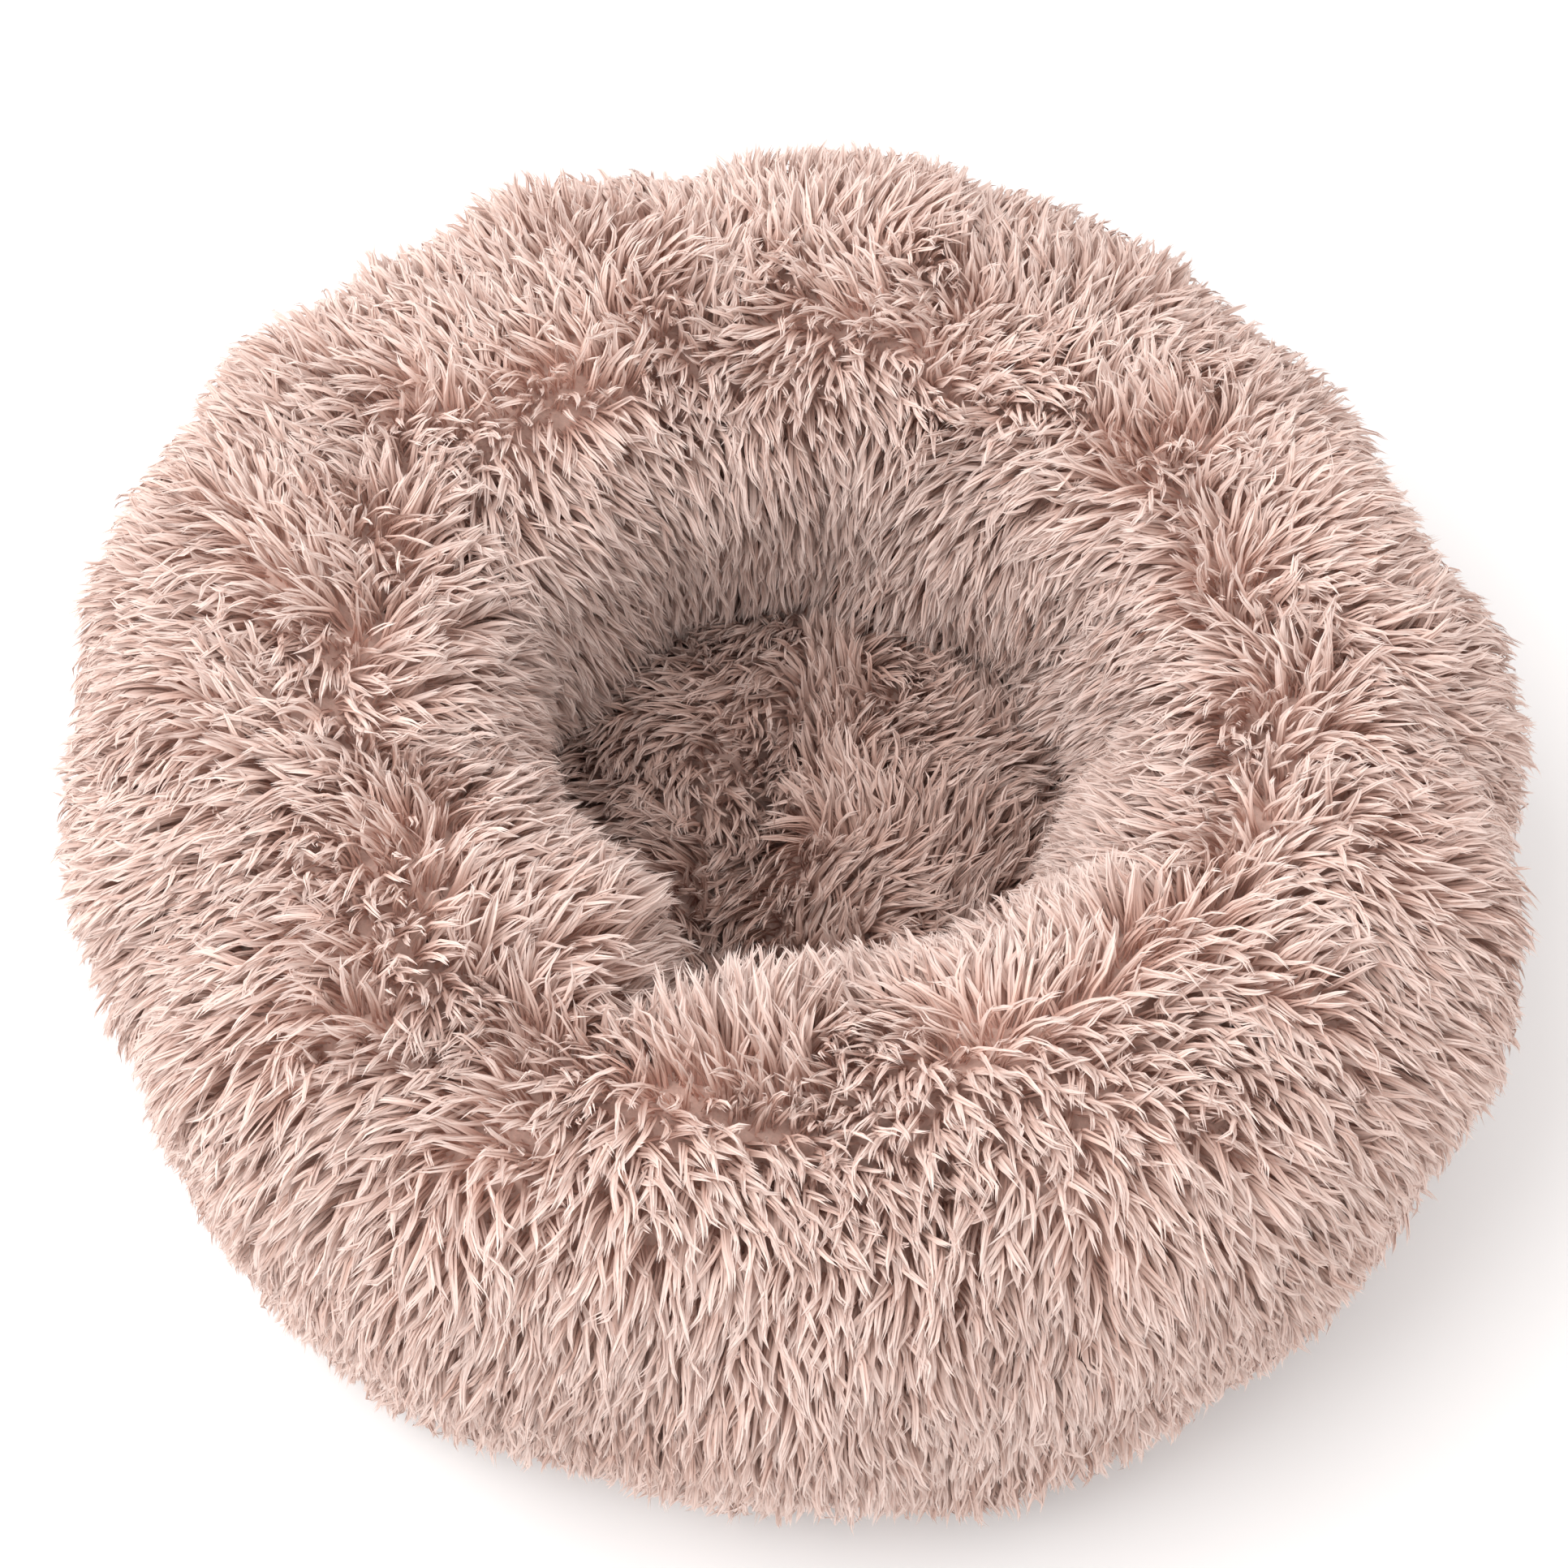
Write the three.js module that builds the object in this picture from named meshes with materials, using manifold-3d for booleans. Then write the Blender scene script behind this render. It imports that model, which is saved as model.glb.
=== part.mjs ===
// Round nesting bed for a cat or a small dog: a fat ring of long-pile cloth stuffed with fibre,
// a padded fur floor sewn into its middle, and a grip cloth base in two halves closed by a zip,
// so that the ring and pad inserts come out and the cover can be washed.
// Millimetres, +Z up, +X along the zip towards its closed end, -Y the front.
// The origin is on the floor, under the centre of the bed.

import * as THREE from 'three';
import { mergeVertices } from 'three/addons/utils/BufferGeometryUtils.js';
import Module from 'manifold-3d';

const wasm = await Module();
wasm.setup();

// ---- Driving dimensions ----

// Ring, measured to the lying surface of the pile
const overallDiameter = 600;
const overallHeight = 195;
const openingDiameter = 220;
const bellyHeight = 88; // the ring's widest level
const furThickness = 20; // backing cloth and lying pile
const crownFullness = 2.4; // superellipse powers of the ring's section: 2 is round, more is squarer
const footFullness = 4;

// Well and pad
const sleepingHeight = 62; // pile surface of the well
const wellFurThickness = 18;
const wellBackingThickness = 2;
const wellSeamAllowance = 18; // how far the well's backing runs under the end of the ring's cover
const padEdgeRoom = 3; // pad insert to the edge of the well's backing

// Insert bags
const linerThickness = 1.2;
const insertEase = 0.7; // room between the ring's bag and the cover
const padSlitLength = 65; // filling openings, pinned shut by stitches
const slitWidth = 0.6;

// Base
const clothThickness = 1.2;
const baseSeamInset = 21; // base seam to the ring's widest backing
const baseTurnUp = 21; // width of cloth that rises from the floor to the seam
const footWidth = 54; // flat band that the bed stands on
const recessSlope = 12; // width of the slope round the middle of the base
const recessHeight = 8; // floor to the cloth's underside there
const pileOverSeam = 6; // how far the pile lies over the base seam
const gripDotHeight = 0.8;
const gripDotDiameter = 8;
const gripDotSpacing = 40;
const gripDotRings = 2;

// Zip, nylon coil with a metal slider
const zipEndRoom = 27; // end of the teeth to the rim of the recess
const toothPitch = 4;
const toothWidth = 1.7;
const toothTaper = 0.7; // tip width over root width
const toothLength = 1.4;
const coilWidth = 2.6; // one side, from the centre gap to the outer edge
const coilHeight = 2.3;
const zipCentreGap = 1.6; // between the two sides, where the slider's post runs
const tapeWidth = 14; // one side, from the centre line
const tapeThickness = 0.8;
const tapeEnd = 12; // tape beyond the teeth at each end
const zipWindowHalfWidth = 8; // cloth edge to the zip's centre line
const stopLength = 2.5;

// Slider and pull
const sliderLength = 15;
const wingThickness = 1.2;
const wingOverhang = 1.2; // wing beyond the flanges
const flangeThickness = 0.8;
const postWidth = 0.9;
const bridgeThickness = 1;
const bridgeWidth = 3;
const bridgeInset = 1.3; // bridge to the ends of the slider
const bridgeLegThickness = 1.2;
const bridgeShoulder = 1.4;
const bridgeRoom = 2.6; // between the bridge and the wing, where the pull's bar turns
const pullLength = 30;
const pullWidth = 8.4;
const pullCorner = 1.6;
const pullThickness = 1.4;
const pullBarWidth = 1.6;
const pullPlay = 1.6; // bridge to the far edge of the pull's eye
const gripHoleLength = 6.8;
const gripHoleWidth = 3.4;
const gripHoleInset = 3.6;

// Care label, with nothing printed on it
const labelWidth = 30;
const labelLength = 46;
const labelThickness = 0.5;
const labelOffset = -60; // along the zip

const touch = 0.3; // gap between pieces that touch
const segments = 40;
const sectionSteps = 20; // round the ring's whole section

// ---- Sizes that follow ----

const ringRadius = (overallDiameter + openingDiameter) / 4;
const ringHalfWidth = (overallDiameter - openingDiameter) / 4;
const clothTop = gripDotHeight + clothThickness;
const wellSeamHeight = sleepingHeight - wellFurThickness + touch;

const baseSeamRadius = ringRadius + ringHalfWidth - furThickness - baseSeamInset;
const footOuterRadius = baseSeamRadius - baseTurnUp;
const footInnerRadius = footOuterRadius - footWidth;
const recessRadius = footInnerRadius - recessSlope;
const recessClothTop = recessHeight + clothThickness;

const zipHalfLength = recessRadius - zipEndRoom;
const tapeHalfLength = zipHalfLength + tapeEnd;
const zipWindowHalfLength = zipHalfLength + tapeEnd / 2;
const tapeBottom = recessClothTop + touch;
const tapeTop = tapeBottom + tapeThickness;
const coilTop = tapeBottom - touch;
const coilBottom = coilTop - coilHeight;
const coilInner = zipCentreGap / 2;
const coilOuter = coilInner + coilWidth;

const upperWingTop = tapeTop + touch + wingThickness;
const lowerWingTop = coilBottom - touch;
const lowerWingBottom = lowerWingTop - wingThickness;
const flangeInner = coilOuter + 2 * touch;
const flangeOuter = flangeInner + flangeThickness;
const bridgeTop = lowerWingBottom - bridgeRoom;
const bridgeBottom = bridgeTop - bridgeThickness;
const pullAxisHeight = lowerWingBottom - bridgeRoom / 2;
const sliderHome = zipHalfLength - sliderLength / 2 - touch; // its centre when the zip is closed
const insertFloor = upperWingTop + 2 * touch; // lowest level of the inserts over the zip

const OVERCUT = 0.5; // how far a cutting tool runs past what it cuts

// ---- Materials ----

const fur = new THREE.MeshStandardMaterial({ color: 0xc7a598, roughness: 0.95 });
const liner = new THREE.MeshStandardMaterial({ color: 0xece8e2, roughness: 0.9 });
const fibre = new THREE.MeshStandardMaterial({ color: 0xf6f5f2, roughness: 1 });
const gripCloth = new THREE.MeshStandardMaterial({ color: 0x6f625e, roughness: 0.8 });
const zipTape = new THREE.MeshStandardMaterial({ color: 0xb59a8e, roughness: 0.85 });
const zipCoil = new THREE.MeshStandardMaterial({ color: 0xa98e83, roughness: 0.45 });
const zipMetal = new THREE.MeshStandardMaterial({ color: 0xb9b9bc, roughness: 0.3, metalness: 0.9 });
const satin = new THREE.MeshStandardMaterial({ color: 0xf2efea, roughness: 0.5 });

// ---- Shape helpers ----

function toSolid(geometry) {
  const flat = geometry.index ? geometry.toNonIndexed() : geometry;
  const bare = new THREE.BufferGeometry().setAttribute('position', flat.getAttribute('position'));
  const merged = mergeVertices(bare, 1e-3);
  return new wasm.Manifold(new wasm.Mesh({
    numProp: 3,
    vertProperties: merged.attributes.position.array,
    triVerts: new Uint32Array(merged.index.array),
  }));
}

function toGeometry(solid) {
  const mesh = solid.getMesh();
  return new THREE.BufferGeometry()
    .setAttribute('position', new THREE.BufferAttribute(mesh.vertProperties, 3))
    .setIndex(new THREE.BufferAttribute(mesh.triVerts, 1));
}

// Turns a closed outline of [radius, height] points, in either order, about the bed's axis.
// An outline that lies against the axis is opened there, as the turning closes it.
function turned(outline) {
  const area = outline.reduce((sum, [r, z], i) => {
    const [nextR, nextZ] = outline[(i + 1) % outline.length];
    return sum + r * nextZ - nextR * z;
  }, 0);
  const ordered = area > 0 ? outline : [...outline].reverse();
  const onAxis = ordered.findIndex(([r], i) => r === 0 && ordered.at(i - 1)[0] === 0);
  const start = Math.max(onAxis, 0);
  const round = [...ordered.slice(start), ...ordered.slice(0, start)];
  if (onAxis < 0) round.push(round[0]);
  const points = round.map(([r, z]) => new THREE.Vector2(r, z));
  return toSolid(new THREE.LatheGeometry(points, segments).rotateX(Math.PI / 2));
}

// A flat plate of the outline in X and Y, between two levels.
function plate(outline, bottom, top, holes = []) {
  const shape = new THREE.Shape(outline.map(([x, y]) => new THREE.Vector2(x, y)));
  shape.holes = holes.map((hole) => new THREE.Path(hole.map(([x, y]) => new THREE.Vector2(x, y))));
  const geometry = new THREE.ExtrudeGeometry(shape, { depth: top - bottom, bevelEnabled: false });
  return toSolid(geometry.translate(0, 0, bottom));
}

// A bar of the outline in X and Z, centred on Y.
function bar(outline, width) {
  return plate(outline, -width / 2, width / 2).rotate([90, 0, 0]);
}

function block(xLow, xHigh, yLow, yHigh, zLow, zHigh) {
  const geometry = new THREE.BoxGeometry(xHigh - xLow, yHigh - yLow, zHigh - zLow);
  return toSolid(geometry.translate((xLow + xHigh) / 2, (yLow + yHigh) / 2, (zLow + zHigh) / 2));
}

// A rounded rectangle about a centre on the X axis.
function rounded(middle, length, width, corner, steps = 3) {
  const points = [];
  [[1, 1], [-1, 1], [-1, -1], [1, -1]].forEach(([sx, sy], quarter) => {
    for (let i = 0; i <= steps; i++) {
      const angle = (quarter + i / steps) * (Math.PI / 2);
      points.push([
        middle + sx * (length / 2 - corner) + corner * Math.cos(angle),
        sy * (width / 2 - corner) + corner * Math.sin(angle),
      ]);
    }
  });
  return points;
}

// Points on both sides of the X axis, from the ones on its positive side.
function mirrored(points) {
  return [...points, ...[...points].reverse().map(([x, y]) => [x, -y])];
}

// ---- Ring ----

// The section of the ring at a depth inside its pile surface, standing on a floor level.
// Its angle runs from the outer side, over the crest, to the inner side and round the foot.
function ringSection(depth, floor) {
  const half = ringHalfWidth - depth;
  const above = overallHeight - bellyHeight - depth;
  const below = bellyHeight - floor;
  const power = (value, fullness) => Math.sign(value) * Math.abs(value) ** (2 / fullness);
  return {
    at(angle) {
      const crown = Math.sin(angle) >= 0;
      const fullness = crown ? crownFullness : footFullness;
      return [
        ringRadius + half * power(Math.cos(angle), fullness),
        bellyHeight + (crown ? above : below) * power(Math.sin(angle), fullness),
      ];
    },
    outerFootAngle: (radius) => -Math.acos(((radius - ringRadius) / half) ** (footFullness / 2)),
    innerFootAngle: (height) => Math.PI + Math.asin(((bellyHeight - height) / below) ** (footFullness / 2)),
  };
}

// Every layer of the ring is drawn at the same angles, so that its faces lie side by side.
const angleStep = (2 * Math.PI) / sectionSteps;

function arc(section, from, to) {
  const points = [section.at(from)];
  for (let i = Math.ceil(from / angleStep + 0.25); i * angleStep < to - angleStep / 4; i++) {
    points.push(section.at(i * angleStep));
  }
  return [...points, section.at(to)];
}

function loop(section) {
  return Array.from({ length: sectionSteps }, (_, i) => section.at(i * angleStep));
}

const ringPile = ringSection(0, gripDotHeight);
const ringBacking = ringSection(furThickness, clothTop + touch);

// Long-pile sleeve, open where the base and the pad close it: it runs from the base seam,
// over the crest, and down the inner wall to the seam round the well.
function bolsterFurCover() {
  const side = (section, seamRadius) => arc(
    section, section.outerFootAngle(seamRadius), section.innerFootAngle(wellSeamHeight),
  );
  const outside = side(ringPile, baseSeamRadius + pileOverSeam);
  const inside = side(ringBacking, baseSeamRadius);
  return turned([...outside, ...inside.reverse()]);
}

// Space over the recess that the ring insert keeps clear of, so that the zip has room.
function zipRoom(extra) {
  const top = insertFloor + extra;
  const slope = recessSlope + insertEase + extra;
  return turned([
    [0, -OVERCUT],
    [recessRadius + slope, -OVERCUT],
    [recessRadius + slope, clothTop + insertEase + extra],
    [recessRadius + insertEase + extra, top],
    [0, top],
  ]);
}

function insertBody(inset) {
  const section = ringSection(furThickness + insertEase + inset, clothTop + insertEase + inset);
  return turned(loop(section)).subtract(zipRoom(inset));
}

function bolsterLinerBag() {
  const slit = turned([
    [ringRadius - slitWidth / 2, -OVERCUT],
    [ringRadius + slitWidth / 2, -OVERCUT],
    [ringRadius + slitWidth / 2, bellyHeight],
    [ringRadius - slitWidth / 2, bellyHeight],
  ]);
  return insertBody(0).subtract(insertBody(linerThickness)).subtract(slit);
}

function bolsterFibreFill() {
  return insertBody(linerThickness + touch);
}

// ---- Well ----

const wellPileRadius = openingDiameter / 2 - touch;
const wellBackingRadius = openingDiameter / 2 + wellSeamAllowance;
const wellBackingTop = wellSeamHeight - touch;
const wellBackingBottom = wellBackingTop - wellBackingThickness;
const padRadius = wellBackingRadius - padEdgeRoom;
const padTop = wellBackingBottom - touch;

function wellFurPanel() {
  const lip = wellFurThickness / 2;
  return turned([
    [0, wellBackingBottom],
    [wellBackingRadius, wellBackingBottom],
    [wellBackingRadius, wellBackingTop],
    [wellPileRadius, wellBackingTop],
    [wellPileRadius, sleepingHeight - lip],
    [wellPileRadius - lip / 2, sleepingHeight - lip / 4],
    [wellPileRadius - 2 * lip, sleepingHeight],
    [0, sleepingHeight],
  ]);
}

function padBody(inset) {
  const low = insertFloor + inset;
  const high = padTop - inset;
  const radius = padRadius - inset;
  const edge = (high - low) / 3;
  return turned([
    [0, low],
    [radius - edge, low],
    [radius, low + edge],
    [radius, high - edge],
    [radius - edge, high],
    [0, high],
  ]);
}

function padLinerBag() {
  const middle = (insertFloor + padTop) / 2;
  const slit = block(
    -padSlitLength / 2, padSlitLength / 2, -padRadius - OVERCUT, -padRadius / 2,
    middle - slitWidth / 2, middle + slitWidth / 2,
  );
  return padBody(0).subtract(padBody(linerThickness)).subtract(slit);
}

function padFibreFill() {
  return padBody(linerThickness + touch);
}

// ---- Base ----

// The cloth follows the ring's foot up to the seam, so it clears the insert at every size.
function baseCloth() {
  const turnUp = arc(
    ringBacking, ringBacking.outerFootAngle(footOuterRadius), ringBacking.outerFootAngle(baseSeamRadius),
  ).slice(1).map(([r, z]) => [r, z - touch]);
  const upside = [
    [0, recessClothTop],
    [recessRadius, recessClothTop],
    [footInnerRadius, clothTop],
    [footOuterRadius, clothTop],
    ...turnUp,
  ];
  const underside = [...upside].reverse().map(([r, z]) => [r, z - clothThickness]);
  return turned([...upside, ...underside]);
}

// Rubber dots printed on the cloth where it stands on the floor.
function gripDots() {
  const dots = [];
  for (let ring = 0; ring < gripDotRings; ring++) {
    const radius = footInnerRadius + (footWidth * (ring + 0.5)) / gripDotRings;
    const perHalf = Math.round((Math.PI * radius) / gripDotSpacing);
    const count = 2 * perHalf;
    for (let i = 0; i < count; i++) {
      const angle = ((i + 0.5) * 2 * Math.PI) / count;
      const height = gripDotHeight + clothThickness / 2;
      const dot = new THREE.CylinderGeometry(gripDotDiameter / 2, gripDotDiameter / 2, height, 6);
      dot.rotateX(Math.PI / 2).translate(radius * Math.cos(angle), radius * Math.sin(angle), height / 2);
      dots.push(toSolid(dot));
    }
  }
  return wasm.Manifold.union(dots);
}

// One half of the base: side is -1 for the front and 1 for the rear.
function basePanel(side) {
  const far = overallDiameter;
  const half = side > 0 ? [touch / 2, far] : [-far, -touch / 2];
  const window = block(
    -zipWindowHalfLength, zipWindowHalfLength, -zipWindowHalfWidth, zipWindowHalfWidth,
    -OVERCUT, insertFloor,
  );
  return baseCloth().add(gripDots()).intersect(block(-far, far, ...half, -far, far)).subtract(window);
}

// ---- Zip ----

function zipTapeSide(side) {
  return plate([
    [-tapeHalfLength, side * coilInner],
    [tapeHalfLength, side * coilInner],
    [tapeHalfLength, side * tapeWidth],
    [-tapeHalfLength, side * tapeWidth],
  ], tapeBottom, tapeTop);
}

// A row of coil turns joined along its outer edge. The two rows are staggered by half a pitch.
function zipTeethSide(side) {
  const root = coilInner + toothLength;
  const end = zipHalfLength - stopLength - touch;
  const count = Math.floor((2 * end) / toothPitch) - 1;
  const outline = [[-end, side * coilOuter], [-end, side * root]];
  for (let i = 0; i < count; i++) {
    const middle = (i - (count - 1) / 2) * toothPitch + (side * toothPitch) / 4;
    const half = toothWidth / 2;
    outline.push([middle - half, side * root]);
    outline.push([middle - half * toothTaper, side * coilInner]);
    outline.push([middle + half * toothTaper, side * coilInner]);
    outline.push([middle + half, side * root]);
  }
  outline.push([end, side * root], [end, side * coilOuter]);
  return plate(outline, coilBottom, coilTop);
}

function zipTopStop(side) {
  const low = zipHalfLength + touch;
  const across = side > 0 ? [coilInner, coilOuter] : [-coilOuter, -coilInner];
  return block(low, low + stopLength, ...across, coilBottom, coilTop);
}

function zipBottomStop() {
  const high = -zipHalfLength + stopLength - touch;
  return block(high - stopLength, high, -coilOuter, coilOuter, coilBottom, coilTop);
}

// ---- Slider and pull, modelled round the slider's own centre ----

const sliderHalfLength = sliderLength / 2;
const bridgeHalfLength = sliderHalfLength - bridgeInset;

// The slider's wings are broad at the front, where the teeth come in, and narrow behind.
function sliderWing(bottom, top) {
  const broad = flangeOuter + wingOverhang;
  const narrow = flangeOuter;
  return plate(mirrored([
    [-sliderHalfLength, narrow],
    [0, broad],
    [sliderHalfLength - wingOverhang, broad],
    [sliderHalfLength, broad - wingOverhang],
  ]), bottom, top);
}

function sliderBridge() {
  const out = bridgeHalfLength;
  const inside = out - bridgeLegThickness;
  const outer = [[out, lowerWingBottom + OVERCUT], [out, bridgeBottom + bridgeShoulder],
    [out - bridgeShoulder, bridgeBottom]];
  const inner = [[inside - bridgeShoulder / 2, bridgeTop], [inside, bridgeTop + bridgeShoulder / 2],
    [inside, lowerWingBottom + OVERCUT]];
  const opposite = (points) => [...points].reverse().map(([x, z]) => [-x, z]);
  return bar([...outer, ...opposite(outer), ...opposite(inner), ...inner], bridgeWidth);
}

function zipSlider() {
  const flange = block(
    -sliderHalfLength + wingOverhang, sliderHalfLength - wingOverhang * 2, flangeInner, flangeOuter,
    lowerWingTop - OVERCUT, coilTop - touch,
  );
  const post = block(
    sliderHalfLength / 4, sliderHalfLength - wingOverhang, -postWidth / 2, postWidth / 2,
    lowerWingTop - OVERCUT, upperWingTop - OVERCUT,
  );
  return sliderWing(lowerWingBottom, lowerWingTop)
    .add(sliderWing(upperWingTop - wingThickness, upperWingTop))
    .add(flange)
    .add(flange.mirror([0, 1, 0]))
    .add(post)
    .add(sliderBridge());
}

// The pull's bar lies in the bridge, on the turning axis. At rest the pull points back along
// the closed teeth, with the bridge's leg in its eye.
function zipPull() {
  const barHalf = pullBarWidth / 2;
  const eyeEnd = Math.hypot(bridgeHalfLength, pullAxisHeight - bridgeBottom) + pullPlay;
  const eyeHalfWidth = bridgeWidth / 2 + 2 * touch;
  const blade = rounded(barHalf - (pullLength + barHalf) / 2, pullLength + barHalf, pullWidth, pullCorner);
  const eye = mirrored([[-eyeEnd, eyeHalfWidth], [-barHalf, eyeHalfWidth]]);
  const gripHole = rounded(
    gripHoleInset + gripHoleLength / 2 - pullLength, gripHoleLength, gripHoleWidth, gripHoleWidth / 2,
  );
  return plate(blade, -pullThickness / 2, pullThickness / 2, [eye, gripHole]);
}

// Hangs from the seam beside the zip, against the underside of the cloth.
function careLabel() {
  const near = zipWindowHalfWidth + touch;
  const top = recessHeight - touch;
  return block(
    labelOffset - labelWidth / 2, labelOffset + labelWidth / 2, near, near + labelLength,
    top - labelThickness, top,
  );
}

// ---- Assembly ----

const bed = new THREE.Group();

function place(parent, name, solid, material) {
  const mesh = new THREE.Mesh(toGeometry(solid), material);
  mesh.name = name;
  parent.add(mesh);
  return mesh;
}

place(bed, 'bolster_fur_cover', bolsterFurCover(), fur);
place(bed, 'bolster_liner_bag', bolsterLinerBag(), liner);
place(bed, 'bolster_fibre_fill', bolsterFibreFill(), fibre);
place(bed, 'well_fur_panel', wellFurPanel(), fur);
place(bed, 'pad_liner_bag', padLinerBag(), liner);
place(bed, 'pad_fibre_fill', padFibreFill(), fibre);
[['front', -1], ['rear', 1]].forEach(([half, side]) => {
  place(bed, `base_panel_${half}`, basePanel(side), gripCloth);
  place(bed, `zip_tape_${half}`, zipTapeSide(side), zipTape);
  place(bed, `zip_teeth_${half}`, zipTeethSide(side), zipCoil);
  place(bed, `zip_top_stop_${half}`, zipTopStop(side), zipMetal);
});
place(bed, 'zip_bottom_stop', zipBottomStop(), zipMetal);
place(bed, 'care_label', careLabel(), satin);

// The slider group rides along X, and the pull turns about Y in the slider's bridge.
const sliderGroup = new THREE.Group();
sliderGroup.position.x = sliderHome;
place(sliderGroup, 'zip_slider', zipSlider(), zipMetal);
place(sliderGroup, 'zip_pull', zipPull(), zipMetal).position.z = pullAxisHeight;
bed.add(sliderGroup);

export default bed;
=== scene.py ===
# Round long-pile nesting bed for a cat or a small dog, shown on a white studio floor.
# Metres, +Z up, -Y the front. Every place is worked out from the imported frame.
import math

import bmesh
import bpy
import numpy as np
from mathutils import Matrix, Vector
from mathutils.bvhtree import BVHTree
from mathutils.kdtree import KDTree


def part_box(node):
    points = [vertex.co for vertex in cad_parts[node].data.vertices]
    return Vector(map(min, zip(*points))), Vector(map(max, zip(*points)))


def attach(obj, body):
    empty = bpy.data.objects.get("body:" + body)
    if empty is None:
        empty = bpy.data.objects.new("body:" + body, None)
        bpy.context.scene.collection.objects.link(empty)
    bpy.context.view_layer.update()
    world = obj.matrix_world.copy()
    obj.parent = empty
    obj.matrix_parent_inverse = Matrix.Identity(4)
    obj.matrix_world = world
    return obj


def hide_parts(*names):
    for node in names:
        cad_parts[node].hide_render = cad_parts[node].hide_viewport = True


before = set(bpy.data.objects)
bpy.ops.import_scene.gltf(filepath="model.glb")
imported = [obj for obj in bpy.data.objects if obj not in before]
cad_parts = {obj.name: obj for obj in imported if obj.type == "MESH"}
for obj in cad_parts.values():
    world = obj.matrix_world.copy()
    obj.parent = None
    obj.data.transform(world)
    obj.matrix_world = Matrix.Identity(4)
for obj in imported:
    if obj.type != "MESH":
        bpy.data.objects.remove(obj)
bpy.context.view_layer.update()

# ---- Studio ----
# A white floor in a white room, with a broad soft light from the upper left and a weak one
# from the front right. The camera stands in front of the bed and looks down into the well.
floor_size = 30.0


def piece_of(form, name):
    """Makes a named piece of a finished form."""
    data = bpy.data.meshes.new(name)
    form.to_mesh(data)
    form.free()
    made = bpy.data.objects.new(name, data)
    bpy.context.scene.collection.objects.link(made)
    return made


floor_form = bmesh.new()
bmesh.ops.create_grid(floor_form, x_segments=1, y_segments=1, size=floor_size / 2)
floor = piece_of(floor_form, "studio_floor")

floor_paint = bpy.data.materials.new("white_floor_paint")
floor_paint.use_nodes = True
floor_shader = floor_paint.node_tree.nodes["Principled BSDF"]
floor_shader.inputs["Base Color"].default_value = (0.97, 0.955, 0.95, 1)
floor_shader.inputs["Roughness"].default_value = 0.7
floor_shader.inputs["Specular IOR Level"].default_value = 0.1
floor.data.materials.append(floor_paint)

room = bpy.data.worlds.new("white_room")
room.use_nodes = True
room.node_tree.nodes["Background"].inputs["Color"].default_value = (1.0, 0.985, 0.98, 1)
room.node_tree.nodes["Background"].inputs["Strength"].default_value = 1.02
bpy.context.scene.world = room


def soft_light(name, place, size, power):
    data = bpy.data.lights.new(name, "AREA")
    data.shape = "DISK"
    data.size = size
    data.energy = power
    lamp = bpy.data.objects.new(name, data)
    lamp.location = place
    lamp.rotation_euler = (-Vector(place)).to_track_quat("-Z", "Y").to_euler()
    bpy.context.scene.collection.objects.link(lamp)


soft_light("window_light", (-1.3, -0.1, 1.8), size=2.0, power=31)
soft_light("fill_light", (1.2, -1.6, 1.5), size=1.8, power=1)

view_elevation = math.radians(60)
view_distance = 0.965
view_target = Vector((0, 0, 0.09))
view_aim = Vector((-0.0085, -0.0062, 0.0864))
camera_data = bpy.data.cameras.new("camera")
camera_data.lens = 52.6
camera_data.sensor_width = 36
camera = bpy.data.objects.new("camera", camera_data)
view_back = Vector((0, -math.cos(view_elevation), math.sin(view_elevation)))
camera.location = view_target + view_back * view_distance
camera.rotation_euler = (view_aim - camera.location).to_track_quat("-Z", "Y").to_euler()
bpy.context.scene.collection.objects.link(camera)
bpy.context.scene.camera = camera
bpy.context.scene.view_settings.view_transform = "Standard"

# ---- Stuffed ring ----
# The knitted backing of the fur cover, pulled tight over a hand-stuffed ring of fibre.
# It is lumpy, with pits where the fibre has parted, and it shows only between the locks.
ring_outer, ring_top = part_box("bolster_fur_cover")[1].xz
well_seam_allowance = 0.018
ring_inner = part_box("well_fur_panel")[1].x - well_seam_allowance
ring_middle = (ring_outer + ring_inner) / 2
ring_half = (ring_outer - ring_inner) / 2
ring_belly = 0.088
pile_lie = 0.019
crown_fullness = 2.4
foot_fullness = 4.0
foot_clearance = 0.003
outer_foot_turn = -64
inner_foot_turn = 216
lump_height = 0.0036
# Where the ring has been pushed out of round: azimuth, reach in degrees, amount.
bulges = [
    (142, 28, 0.008), (26, 24, -0.016), (342, 30, -0.006), (325, 18, 0.008), (228, 22, 0.008),
    (176, 14, 0.007), (205, 18, -0.008), (256, 14, -0.006), (64, 16, -0.008), (92, 22, -0.005),
]
# Pits in the stuffing: azimuth, turn round the section (90 is the crest), depth, reach.
pits = [
    (158, 100, 0.008, 0.030),
    (175, 112, 0.009, 0.026),
    (197, 128, 0.010, 0.024),
    (281, 74, 0.005, 0.020),
    (254, 78, 0.005, 0.020),
    (338, 112, 0.006, 0.026),
    (20, 108, 0.006, 0.028),
    (60, 96, 0.005, 0.030),
    (102, 106, 0.006, 0.030),
    (128, 92, 0.005, 0.028),
    (232, 104, 0.006, 0.026),
    (258, 124, 0.007, 0.022),
    (312, 94, 0.005, 0.022),
]
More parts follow.
